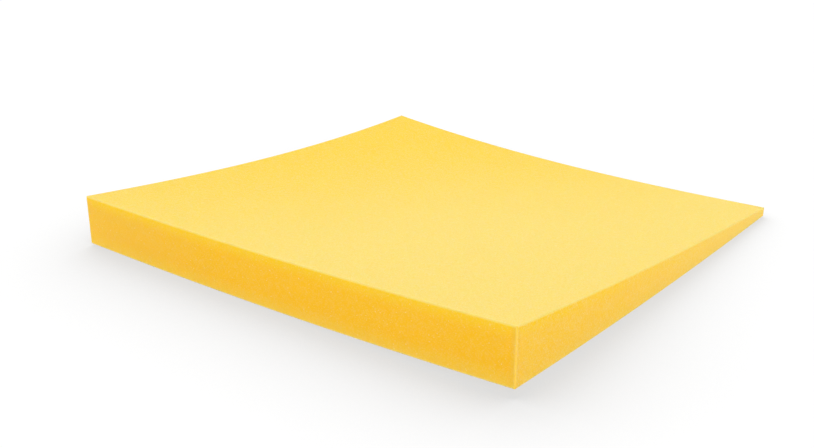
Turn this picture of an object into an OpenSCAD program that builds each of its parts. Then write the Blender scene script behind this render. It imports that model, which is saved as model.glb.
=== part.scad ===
// Acoustic foam panel: one block of open-cell foam, cut as a square wedge.
// The flat back lies on z = 0 and is glued to the wall. The absorbing face
// falls in a straight slope from the thick edge (-Y) to the thin edge (+Y).
// Origin: middle of the back's outline, +Z out of the absorbing face.

/* [Outline] */
// Length of the thick edge and of the thin edge
panel_width = 500; // [200:10:1000]
// Distance from the thick edge to the thin edge, along the back
panel_depth = 500; // [200:10:1000]

/* [Section] */
// Thickness at the thick edge
thick_edge = 50; // [25:1:120]
// Thickness at the thin edge
thin_edge = 10; // [6:0.5:20]

/* [Cut] */
// Radius to which the soft cells give way along every cut edge
edge_radius = 1; // [0.4:0.1:2]

/* [Hidden] */
FOAM_YELLOW = [0.98, 0.78, 0.27];
ARC_SIDES = 48;
// Slope of the absorbing face, in degrees
face_slope = atan((thick_edge - thin_edge) / panel_depth);
// How far a cutting prism runs past the block that it trims
overrun = 4 * edge_radius + 10;

function unit(v) = v / norm(v);

// A convex outline with every corner rounded to radius: the polygon through
// the points where the arcs begin and end, joined with a disc in each corner.
module rounded_outline(corners, radius) {
    last = len(corners) - 1;
    arcs = [
        for (i = [0 : last])
            let (
                corner = corners[i],
                back = unit(corners[i == 0 ? last : i - 1] - corner),
                ahead = unit(corners[i == last ? 0 : i + 1] - corner),
                half = acos(back * ahead) / 2,
                reach = radius / tan(half)
            )
            [corner + back * reach, corner + ahead * reach,
             corner + unit(back + ahead) * radius / sin(half)]
    ];
    polygon([for (arc = arcs) each [arc[0], arc[1]]]);
    for (arc = arcs)
        translate(arc[2]) circle(r = radius, $fn = ARC_SIDES);
}

// Side section, drawn in Y and Z and run along X. It rounds the four edges
// that lie along the thick and thin sides.
module section_prism() {
    length = panel_width + 2 * overrun;
    rotate([90, 0, 90])
        translate([0, 0, -length / 2])
            linear_extrude(length)
                rounded_outline([
                    [-panel_depth / 2, 0],
                    [panel_depth / 2, 0],
                    [panel_depth / 2, thin_edge],
                    [-panel_depth / 2, thick_edge]
                ], edge_radius);
}

// Plan outline, run along Z. It rounds the four upright corners.
module plan_prism() {
    half_w = panel_width / 2;
    half_d = panel_depth / 2;
    translate([0, 0, -overrun])
        linear_extrude(thick_edge + 2 * overrun)
            rounded_outline([
                [-half_w, -half_d], [half_w, -half_d],
                [half_w, half_d], [-half_w, half_d]
            ], edge_radius);
}

// Front section, drawn in X and Z and run along Y, with its upper corners at
// top and its lower ones at bottom.
module side_prism(bottom, top) {
    half_w = panel_width / 2;
    length = (panel_depth + thick_edge) / cos(face_slope) + 2 * overrun;
    rotate([90, 0, 0])
        translate([0, 0, -length / 2])
            linear_extrude(length)
                rounded_outline([
                    [-half_w, bottom], [half_w, bottom],
                    [half_w, top], [-half_w, top]
                ], edge_radius);
}

// Rounds the two long edges where the sides meet the back.
module back_edges_prism() {
    side_prism(0, thick_edge + overrun);
}

// Rounds the two long edges where the sides meet the sloping face.
module face_edges_prism() {
    translate([0, 0, (thick_edge + thin_edge) / 2])
        rotate([-face_slope, 0, 0])
            side_prism(-thick_edge - overrun, 0);
}

module foam_panel() {
    color(FOAM_YELLOW)
        intersection() {
            section_prism();
            plan_prism();
            back_edges_prism();
            face_edges_prism();
        }
}

foam_panel();
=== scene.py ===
import math
import bpy
import numpy as np
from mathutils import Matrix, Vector


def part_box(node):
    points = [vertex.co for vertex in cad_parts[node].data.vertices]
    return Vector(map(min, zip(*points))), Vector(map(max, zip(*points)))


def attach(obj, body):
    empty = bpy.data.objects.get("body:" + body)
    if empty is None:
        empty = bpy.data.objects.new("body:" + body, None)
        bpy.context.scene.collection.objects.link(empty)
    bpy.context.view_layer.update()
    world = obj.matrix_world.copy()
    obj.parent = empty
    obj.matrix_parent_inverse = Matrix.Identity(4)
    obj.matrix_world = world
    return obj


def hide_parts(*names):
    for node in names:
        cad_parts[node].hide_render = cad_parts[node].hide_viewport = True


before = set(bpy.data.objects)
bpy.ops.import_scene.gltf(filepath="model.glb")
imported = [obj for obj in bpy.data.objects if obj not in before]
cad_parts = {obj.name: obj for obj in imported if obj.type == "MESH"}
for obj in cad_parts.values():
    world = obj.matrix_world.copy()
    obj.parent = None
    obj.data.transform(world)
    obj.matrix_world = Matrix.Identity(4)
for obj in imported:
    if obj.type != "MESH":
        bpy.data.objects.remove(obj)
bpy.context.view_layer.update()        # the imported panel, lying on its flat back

# ---------------------------------------------------------------- sizes, in metres
LOW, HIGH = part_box("foam_panel")
WIDTH = HIGH.x - LOW.x
DEPTH = HIGH.y - LOW.y
EDGE_RADIUS = 0.001                # the cut edges, as in the solid
ROUNDED_OFF = 0.00008              # how much the solid's rounding takes off its peak
THICK_EDGE = HIGH.z + ROUNDED_OFF
THIN_EDGE = 0.010

# How far the relaxed foam stands off the floor at each corner: (side, end, rise).
# side -1 is the left edge, end -1 is the thick edge.
CORNER_RISE = (
    (-1, -1, 0.003),
    (1, -1, 0.0105),
    (-1, 1, 0.028),
    (1, 1, 0.002),
)
RISE_SHARPNESS = 2.4               # higher keeps the rise nearer to the corners

# the grid: lines across each side, across the thickness and round each edge
SIDE_LINES = 150
THICKNESS_LINES = 10
EDGE_LINES = 4
SHOULDERS = (0.8, 1.8, 3.2, 5.0, 7.5, 10.0)   # lines beside each edge, in edge radii

CUT_SHARPNESS = 4                  # higher keeps the face's finish further into the rounding

# how the painted shade at the thin left corner spreads
LEFT_EDGE_SHARE = 0.60             # a step along the left edge, set against 1 along the thin one
INNER_SHARE = 0.43                 # how much more is added for points away from both edges


# ---------------------------------------------------------------- foam block


def spaced(half, lines):
    """Positions from -half to half: fine even steps over the last EDGE_RADIUS at each end, so that
    the rounding is smooth, widening shoulders next to them, and even steps in the middle."""
    inner = half - EDGE_RADIUS
    fine = np.linspace(inner, half, EDGE_LINES + 1)[1:]
    shoulder = inner - EDGE_RADIUS * np.array(SHOULDERS)
    middle = np.linspace(-shoulder[-1], shoulder[-1], lines)[1:-1]
    right = np.concatenate([shoulder[::-1], [inner], fine])
    return np.concatenate([-right[::-1], middle, right])


def lattice_shell(nx, ny, nz):
    """The lattice points on the surface of an nx by ny by nz block of cells, each once, and the
    quads between them, facing outwards. Returns point indices (n, 3) and faces (m, 4)."""
    sides = []
    counts = (nx, ny, nz)
    for axis in range(3):
        first, second = [a for a in range(3) if a != axis]
        a, b = np.meshgrid(np.arange(counts[first]), np.arange(counts[second]), indexing="ij")
        for level in (0, counts[axis]):
            corners = np.zeros(a.shape + (4, 3), int)
            corners[..., axis] = level
            for k, (da, db) in enumerate(((0, 0), (1, 0), (1, 1), (0, 1))):
                corners[..., k, first] = a + da
                corners[..., k, second] = b + db
            # turning from first to second faces +axis, apart from x to z, which faces -y
            outward = (level > 0) != (axis == 1)
            quads = corners.reshape(-1, 4, 3)
            sides.append(quads if outward else quads[:, ::-1])
    quads = np.concatenate(sides)
    keys = (quads[..., 0] * (ny + 1) + quads[..., 1]) * (nz + 1) + quads[..., 2]
    unique, faces = np.unique(keys.ravel(), return_inverse=True)
    points = np.stack([
        unique // ((ny + 1) * (nz + 1)),
        unique // (nz + 1) % (ny + 1),
        unique % (nz + 1),
    ], 1)
    return points, faces.reshape(-1, 4)


def foam_block(name):
    """The panel as one closed surface. Each point q of a plain block is rounded to
    c + r (q - c) / |q - c|, where c is q clamped to the block shrunk by the radius r. Its height
    then follows the straight slope from the thick edge to the thin one, while the rounding keeps
    its size, and each corner rises by rise * ((1 + sx) / 2 * (1 + sy) / 2) ^ sharpness, where sx
    and sy run from -1 to 1 towards that corner."""
    half = np.array([WIDTH, DEPTH, THICK_EDGE]) / 2
    axes = [spaced(h, n) for h, n in zip(half, (SIDE_LINES, SIDE_LINES, THICKNESS_LINES))]
    index, faces = lattice_shell(*[len(a) - 1 for a in axes])
    q = np.stack([axes[k][index[:, k]] for k in range(3)], 1)
    inner = half - EDGE_RADIUS
    c = np.clip(q, -inner, inner)
    off = q - c
    p = c + EDGE_RADIUS * off / np.linalg.norm(off, axis=1, keepdims=True)

    sx = p[:, 0] / half[0]
    sy = p[:, 1] / half[1]
    height = p[:, 2] + half[2]
    thickness = THICK_EDGE + (THIN_EDGE - THICK_EDGE) * (1 + sy) / 2
    share = np.clip((height - EDGE_RADIUS) / (THICK_EDGE - 2 * EDGE_RADIUS), 0, 1)
    z = height + (thickness - THICK_EDGE) * share
    lift = np.zeros_like(z)
    for side, end, rise in CORNER_RISE:
        lift += rise * ((1 + side * sx) / 2 * (1 + end * sy) / 2) ** RISE_SHARPNESS
    p[:, 2] = z + lift - lift.min()

    mesh = bpy.data.meshes.new(name)
    mesh.from_pydata(p.tolist(), [], faces.tolist())
    mesh.polygons.foreach_set("use_smooth", np.ones(len(faces), bool))
    for label, values in foam_paint(q, half, z, thickness).items():
        layer = mesh.attributes.new(label, "FLOAT", "POINT")
        layer.data.foreach_set("value", values.astype(np.float32))
    mesh.update()
    block = bpy.data.objects.new(name, mesh)
    bpy.context.scene.collection.objects.link(block)
    return block


def foam_paint(q, half, z, thickness):
    """Where each point q lies on the panel, for its colour with its painted light and shade:
    distances in metres from the face, the back, the left edge, the upright edges and the nearest
    edge, the thickness there, how far inward it lies from the thin left corner, and shares from 0 to
    1 for the cut sides and the thick end.
    Inward is |(u, LEFT_EDGE_SHARE v)| + INNER_SHARE min(u, v), where u and v are the distances from
    the left edge and the thin one. z is the height of the flat panel there."""
    past = np.abs(q) - (half - EDGE_RADIUS)
    on_side = np.clip(past / EDGE_RADIUS, 0, 1)
    below_face = thickness - z
    beside = half - np.abs(q)
    inset = np.stack([beside[:, 0], beside[:, 1], np.minimum(below_face, z)], 1)
    in_x = half[0] + q[:, 0]
    in_y = half[1] - q[:, 1]
    return {
        "cut_side": on_side[:, :2].max(1) ** CUT_SHARPNESS,
        "thick_end": np.where(q[:, 1] < 0, on_side[:, 1], 0) ** CUT_SHARPNESS,
        "below_face": below_face,
        "above_back": z,
        "from_upright": inset[:, :2].max(1),
        "from_edge": np.sort(inset, 1)[:, 1],
        "from_left": in_x,
        "thickness": thickness,
        "inward": np.hypot(in_x, LEFT_EDGE_SHARE * in_y) + INNER_SHARE * np.minimum(in_x, in_y),
    }


# ---------------------------------------------------------------- finishes, with light and shade painted into the foam's colour


class Shader:
    """Short ways to place nodes in one node tree."""

    def __init__(self, tree):
        self.tree = tree

    def node(self, kind, **settings):
        made = self.tree.nodes.new("ShaderNode" + kind)
        for key, value in settings.items():
            setattr(made, key, value)
        return made

    def feed(self, socket, value):
        if isinstance(value, bpy.types.NodeSocket):
            self.tree.links.new(value, socket)
        else:
            socket.default_value = value

    def math(self, operation, a, b=0.0, clamp=False):
        made = self.node("Math", operation=operation, use_clamp=clamp)
        self.feed(made.inputs[0], a)
        self.feed(made.inputs[1], b)
        return made.outputs[0]

    def times(self, a, b):
        return self.math("MULTIPLY", a, b)

    def mix(self, share, a, b):
        """Colour a turning into colour b as share goes from 0 to 1."""
        made = self.node("Mix", data_type="RGBA")
        self.feed(made.inputs["Factor"], share)
        self.feed(made.inputs[6], a)
        self.feed(made.inputs[7], b)
        return made.outputs[2]

    def fade(self, value, start, end, low=0.0, high=1.0):
        """low up to start, then smoothly to high at end."""
        made = self.node("MapRange", interpolation_type="SMOOTHSTEP")
        for socket, fed in zip(made.inputs, (value, start, end, low, high)):
            self.feed(socket, fed)
        return made.outputs[0]

    def read(self, attribute):
        return self.node("Attribute", attribute_name=attribute).outputs["Fac"]

    def noise(self, at, size, roughness):
        """Soft noise from 0 to 1, with patches of about that size in metres."""
        made = self.node("TexNoise")
        self.feed(made.inputs["Vector"], at)
        made.inputs["Scale"].default_value = 1 / size
        made.inputs["Detail"].default_value = NOISE_DETAIL
        made.inputs["Roughness"].default_value = roughness
        return made.outputs[0]

    def cells(self, at, size):
        """Foam cells of about that size in metres."""
        made = self.node("TexVoronoi")
        self.feed(made.inputs["Vector"], at)
        made.inputs["Scale"].default_value = 1 / size
        return made

    def chance(self, cells):
        """A value from 0 to 1 for each cell, which has nothing to do with where its middle lies."""
        made = self.node("TexWhiteNoise")
        self.feed(made.inputs["Vector"], cells.outputs["Position"])
        return made.outputs["Value"]

    def seen_directly(self):
        """1 for what the camera sees, straight, in a gloss or through glass, 0 for other light."""
        path = self.node("LightPath").outputs
        both = self.math("ADD", path["Is Camera Ray"], path["Is Glossy Ray"])
        return self.math("ADD", both, path["Is Transmission Ray"], clamp=True)


def srgb(red, green, blue):
    """A colour given as it looks on screen, from 0 to 255, as linear red, green, blue and alpha."""
    v = np.array([red, green, blue]) / 255
    linear = np.where(v <= 0.04045, v / 12.92, ((v + 0.055) / 1.055) ** 2.4)
    return (*linear.tolist(), 1.0)


def grey(level):
    """A neutral colour of that linear level."""
    return (level, level, level, 1.0)


# The face and the sides are lit and shaded copies of one foam colour: the face is painted paler, as
# it catches the light, and the sides deeper, as painted shade.
PALE_FACE = srgb(254, 225, 119)
SHADED_FACE_CORNER = srgb(254, 210, 46)     # painted shade, at the thin left corner
SHADED_SIDE = srgb(255, 202, 55)
# painted shade: the thick end deeper still than the other sides
THICK_END_SHADE = srgb(255, 194, 32)
# painted light: the left of the thick end paler
THICK_END_LEFT_GLOW = srgb(249, 194, 56)
UNDER_FACE_GLOW = srgb(255, 208, 36)    # painted light: golden bands where a side meets the face and the back
ABOVE_BACK_GLOW = srgb(252, 207, 68)
# painted shade: a deeper band beside the upright edges
UPRIGHT_EDGE_SHADE = srgb(241, 196, 60)
THIN_SIDE_GLOW = srgb(254, 217, 104)    # painted light: paler where the thin foam lets light through
# painted highlight along the edges
PAINTED_EDGE_HIGHLIGHT = srgb(249, 228, 134)
PALE_CELL = srgb(255, 232, 185)
FACE_PIT = srgb(252, 206, 40)
# the pits on the sides are deeper, to go with their painted shade
SIDE_PIT = srgb(249, 180, 10)
# painted glints on a few cells
PAINTED_GLINT = srgb(255, 245, 205)

PIT_SIZE = 0.00095                 # sizes of the grain, from cell to cell
GLINT_SIZE = 0.0027
CLUMP_SIZE = 0.0045
DRIFT_SIZE = 0.040
NOISE_DETAIL = 3.0
CLUMP_ROUGHNESS = 0.65
DRIFT_ROUGHNESS = 0.55

PIT_SPAN = (0.2, 0.8)              # where each part of the grain starts and is full
TONE_SPAN = (0.35, 1.0)
CLUMP_SPAN = (0.38, 0.72)
GLINT_SPAN = (0.06, 0.25)
GLINT_CHANCE = (0.5, 1.0)

UNDER_FACE_BAND = 0.014            # widths of the bands
ABOVE_BACK_BAND = 0.017
UPRIGHT_BAND = 0.007
BAND_WANDER = 0.003                # how much the grain moves a band's edge
ABOVE_BACK_SHARE = 0.9             # how much of its band's colour each one reaches
UPRIGHT_SHARE = 0.7
THIN_SHARE = 0.85
RIM_SHARE = 0.75
# where the painted edge highlight starts and fades out, from the edge
RIM_START = 0.0003
RIM_END = 0.0022
UPRIGHT_RIM_SHARE = 0.05           # upright edges get little painted highlight, as their rounding catches the light
LEFT_TONE_REACH = 0.26             # how far from the left edge the painted light makes the thick end paler

DEEP_TO = 0.08                     # how far inward the painted shade of the thin left corner holds, and where the pale face colour starts
PALE_FROM = 0.56
DEEP_WANDER = 0.08

SIDE_GRAIN = 0.66                  # strength of the grain, set against 1 on the face
THICK_END_GRAIN = 0.48             # and on the thick end, set against the other sides
CLUMP_SHARE = 0.13
CELL_SHARE = 0.30
PIT_SHARE = 0.42
FACE_GLINT_SHARE = 0.3
SIDE_GLINT_SHARE = 0.4

BUMP_STRENGTH = 0.22
BUMP_DEPTH = 0.0006
CLUMP_HEIGHT = 0.8                 # set against 1 for the depth of a pit
ROUGHNESS = 0.9
SPECULAR = 0.15
SCATTER_SHARE = 0.3
SCATTER_DEPTH = 0.004
SCATTER_COLOURS = (1.0, 0.55, 0.2)  # how deep red, green and blue go, set against that depth


def foam_grain(s, at):
    """The foam's grain, in four layers that run from 0 to 1: the pits between small cells, a tone
    of its own for each of those cells, soft clumps, and painted glints on a few larger cells."""
    pit = s.cells(at, PIT_SIZE)
    pore = s.fade(pit.outputs["Distance"], *PIT_SPAN)
    own_tone = s.fade(s.chance(pit), *TONE_SPAN)
    clump = s.noise(at, CLUMP_SIZE, CLUMP_ROUGHNESS)
    glint = s.cells(at, GLINT_SIZE)
    near_middle = s.fade(glint.outputs["Distance"], *GLINT_SPAN, 1.0, 0.0)
    bright = s.times(near_middle, s.fade(s.chance(glint), *GLINT_CHANCE))
    return pore, own_tone, clump, bright


def foam_tone(s, at, cut, clump):
    """The foam's colour without its grain, with light and shade painted in: the face, with painted
    shade towards the thin left corner, the cut sides in a deeper painted shade, golden painted light
    near their edges, painted shade by the upright edges, paler painted light where the panel is thin
    and towards the left of the thick end, and a painted highlight along the edges."""
    drift = s.math("SUBTRACT", s.noise(at, DRIFT_SIZE, DRIFT_ROUGHNESS), 0.5)
    inward = s.math("ADD", s.read("inward"), s.times(drift, DEEP_WANDER))
    # painted shade towards the thin left corner
    face = s.mix(s.fade(inward, DEEP_TO, PALE_FROM), SHADED_FACE_CORNER, PALE_FACE)

    wander = s.times(s.math("SUBTRACT", clump, 0.5), BAND_WANDER)
    below = s.math("ADD", s.read("below_face"), wander)
    above = s.math("ADD", s.read("above_back"), wander)
    upright = s.math("ADD", s.read("from_upright"), wander)
    # painted light towards the left of the thick end, over the painted shade of the sides
    end = s.mix(s.fade(s.read("from_left"), 0.0, LEFT_TONE_REACH), THICK_END_LEFT_GLOW, THICK_END_SHADE)
    side = s.mix(s.read("thick_end"), SHADED_SIDE, end)
    # painted light in golden bands under the face and above the back
    side = s.mix(s.fade(below, 0.0, UNDER_FACE_BAND, 1.0, 0.0), side, UNDER_FACE_GLOW)
    side = s.mix(s.fade(above, 0.0, ABOVE_BACK_BAND, ABOVE_BACK_SHARE, 0.0), side, ABOVE_BACK_GLOW)
    # painted shade beside the upright edges
    side = s.mix(s.fade(upright, 0.0, UPRIGHT_BAND, UPRIGHT_SHARE, 0.0), side, UPRIGHT_EDGE_SHADE)
    # painted light where the panel is thin
    thin = s.fade(s.read("thickness"), THICK_EDGE, THIN_EDGE, 0.0, THIN_SHARE)
    side = s.mix(thin, side, THIN_SIDE_GLOW)
    tone = s.mix(cut, face, side)

    # painted highlight along the edges, faint on upright ones
    rim = s.fade(s.read("from_edge"), RIM_START, RIM_END, RIM_SHARE, 0.0)
    level_edge = s.fade(s.read("from_upright"), 0.0, RIM_END, UPRIGHT_RIM_SHARE, 1.0)
    return s.mix(s.times(rim, level_edge), tone, PAINTED_EDGE_HIGHLIGHT)


def foam_finish():
    """Yellow open-cell foam, matt, with a little light scattered just under its skin."""
    material = bpy.data.materials.new("yellow_open_cell_foam")
    material.use_nodes = True
    tree = material.node_tree
    skin = tree.nodes["Principled BSDF"]
    s = Shader(tree)
    at = s.node("TexCoord").outputs["Object"]
    cut = s.read("cut_side")
    pore, own_tone, clump, bright = foam_grain(s, at)
    colour = foam_tone(s, at, cut, clump)

    on_sides = s.fade(cut, 0.0, 1.0, 1.0, SIDE_GRAIN)
    on_end = s.fade(s.read("thick_end"), 0.0, 1.0, 1.0, THICK_END_GRAIN)
    strength = s.times(on_sides, on_end)
    clumps = s.fade(clump, *CLUMP_SPAN, 0.0, CLUMP_SHARE)
    pale = s.math("ADD", clumps, s.times(own_tone, CELL_SHARE))
    colour = s.mix(s.times(pale, strength), colour, PALE_CELL)
    deep = s.times(s.times(pore, PIT_SHARE), strength)
    colour = s.mix(deep, colour, s.mix(cut, FACE_PIT, SIDE_PIT))
    # painted glints, fainter on the face than on the sides
    glints = s.fade(cut, 0.0, 1.0, FACE_GLINT_SHARE, SIDE_GLINT_SHARE)
    colour = s.mix(s.times(bright, glints), colour, PAINTED_GLINT)
    s.feed(skin.inputs["Base Color"], colour)

    bump = s.node("Bump")
    bump.inputs["Strength"].default_value = BUMP_STRENGTH
    bump.inputs["Distance"].default_value = BUMP_DEPTH
    s.feed(bump.inputs["Height"], s.math("SUBTRACT", s.times(clump, CLUMP_HEIGHT), pore))
    s.feed(skin.inputs["Normal"], bump.outputs[0])

    skin.inputs["Roughness"].default_value = ROUGHNESS
    skin.inputs["Specular IOR Level"].default_value = SPECULAR
    skin.inputs["Subsurface Weight"].default_value = SCATTER_SHARE
    skin.inputs["Subsurface Radius"].default_value = SCATTER_COLOURS
    skin.inputs["Subsurface Scale"].default_value = SCATTER_DEPTH
    return material


# ---------------------------------------------------------------- stage

FLOOR_HALF = 12.0
FLOOR_BOUNCE = 0.8                 # how much light the floor gives on to the panel
FLOOR_SAMPLES = 16
FLOOR_REACH = 0.16                 # how far from the panel the floor still looks shaded
FLOOR_SHADE = 0.29                 # how deep that shade is where the panel hides half the room
FLOOR_SHADE_MOST = 0.9             # the shade grows no deeper than this share of it
FLOOR_SHADE_POWER = 0.80           # below 1 the shade spreads further out from the panel
FLOOR_WHITE = 0.92                 # what the floor gives of itself, the rest is real light
FLOOR_REAL_SHARE = 0.10

ROOM_LIGHT = 0.44
# the suns: name, azimuth, elevation, strength and how wide it looks, angles in degrees
SUNS = (
    ("behind", 228, 38, 1.77, 50),
    ("front", 46, 20, 2.10, 60),
)

PICTURE_WIDTH = 814                # in pixels, as is the focal length
FOCAL_LENGTH = 1000
CAMERA_PLACE = (0.5770, -0.7902, 0.3630)
CAMERA_AZIMUTH = 38.16
CAMERA_ELEVATION = 20.0
CAMERA_NEAR = 0.05
CAMERA_FAR = 40.0
SENSOR_WIDTH = 36.0


def floor_finish():
    """White floor. Light that goes on to the panel comes from a plain diffuse surface. What is seen
    directly is white, greyer where the panel hides part of the room from the floor around it."""
    material = bpy.data.materials.new("white_floor")
    material.use_nodes = True
    tree = material.node_tree
    tree.nodes.clear()
    s = Shader(tree)
    plain = s.node("BsdfDiffuse")
    plain.inputs["Color"].default_value = grey(FLOOR_BOUNCE)

    room = s.node("AmbientOcclusion", samples=FLOOR_SAMPLES)
    room.inputs["Distance"].default_value = FLOOR_REACH
    hidden = s.times(s.math("SUBTRACT", 1.0, room.outputs["AO"], clamp=True), 2.0)
    shade = s.math("POWER", s.math("MINIMUM", hidden, FLOOR_SHADE_MOST), FLOOR_SHADE_POWER)
    white = s.node("Emission")
    shaded = s.times(shade, FLOOR_WHITE * FLOOR_SHADE)
    s.feed(white.inputs["Strength"], s.math("SUBTRACT", FLOOR_WHITE, shaded))
    real = s.node("BsdfDiffuse")
    real.inputs["Color"].default_value = grey(FLOOR_REAL_SHARE)
    seen = s.node("AddShader")
    s.feed(seen.inputs[0], white.outputs[0])
    s.feed(seen.inputs[1], real.outputs[0])

    either = s.node("MixShader")
    s.feed(either.inputs[0], s.seen_directly())
    s.feed(either.inputs[1], plain.outputs[0])
    s.feed(either.inputs[2], seen.outputs[0])
    s.feed(s.node("OutputMaterial").inputs["Surface"], either.outputs[0])
    return material


def white_floor():
    """A flat square under the panel."""
    r = FLOOR_HALF
    mesh = bpy.data.meshes.new("white_floor")
    mesh.from_pydata([(-r, -r, 0), (r, -r, 0), (r, r, 0), (-r, r, 0)], [], [(0, 1, 2, 3)])
    floor = bpy.data.objects.new("white_floor", mesh)
    bpy.context.scene.collection.objects.link(floor)
    mesh.materials.append(floor_finish())


def from_direction(azimuth, elevation):
    """The direction towards a place, in degrees. Azimuth 0 is in front (-Y), 90 to the right."""
    a = math.radians(azimuth)
    e = math.radians(elevation)
    return Vector((math.sin(a) * math.cos(e), -math.cos(a) * math.cos(e), math.sin(e)))


def placed(name, data, towards, place=(0, 0, 0)):
    """A lamp or camera whose back is turned to that direction."""
    made = bpy.data.objects.new(name, data)
    made.location = place
    made.rotation_mode = "QUATERNION"
    made.rotation_quaternion = towards.to_track_quat("Z", "Y")
    bpy.context.scene.collection.objects.link(made)
    return made


def sun(name, azimuth, elevation, strength, softness):
    """A sun lamp, softness being how wide it looks, in degrees."""
    data = bpy.data.lights.new(name, "SUN")
    data.energy = strength
    data.angle = math.radians(softness)
    placed(name, data, from_direction(azimuth, elevation))


def studio_light():
    """A white room that lights evenly, a sun from behind the panel and a low one in front."""
    world = bpy.data.worlds.new("studio")
    bpy.context.scene.world = world
    world.use_nodes = True
    tree = world.node_tree
    tree.nodes.clear()
    s = Shader(tree)
    backgrounds = []
    for strength in (ROOM_LIGHT, 1.0):
        background = s.node("Background")
        background.inputs["Color"].default_value = grey(1.0)
        background.inputs["Strength"].default_value = strength
        backgrounds.append(background.outputs[0])
    either = s.node("MixShader")
    s.feed(either.inputs[0], s.seen_directly())
    s.feed(either.inputs[1], backgrounds[0])
    s.feed(either.inputs[2], backgrounds[1])
    s.feed(s.node("OutputWorld").inputs["Surface"], either.outputs[0])
    for settings in SUNS:
        sun(*settings)


def camera():
    data = bpy.data.cameras.new("camera")
    data.sensor_width = SENSOR_WIDTH
    data.lens = SENSOR_WIDTH * FOCAL_LENGTH / PICTURE_WIDTH
    data.clip_start = CAMERA_NEAR
    data.clip_end = CAMERA_FAR
    back = from_direction(CAMERA_AZIMUTH, CAMERA_ELEVATION)
    bpy.context.scene.camera = placed("camera", data, back, CAMERA_PLACE)


bpy.context.scene.view_settings.view_transform = "Standard"

panel = foam_block("foam_wedge")
panel.data.materials.append(foam_finish())
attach(panel, "root")
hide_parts("foam_panel")

white_floor()
studio_light()
camera()
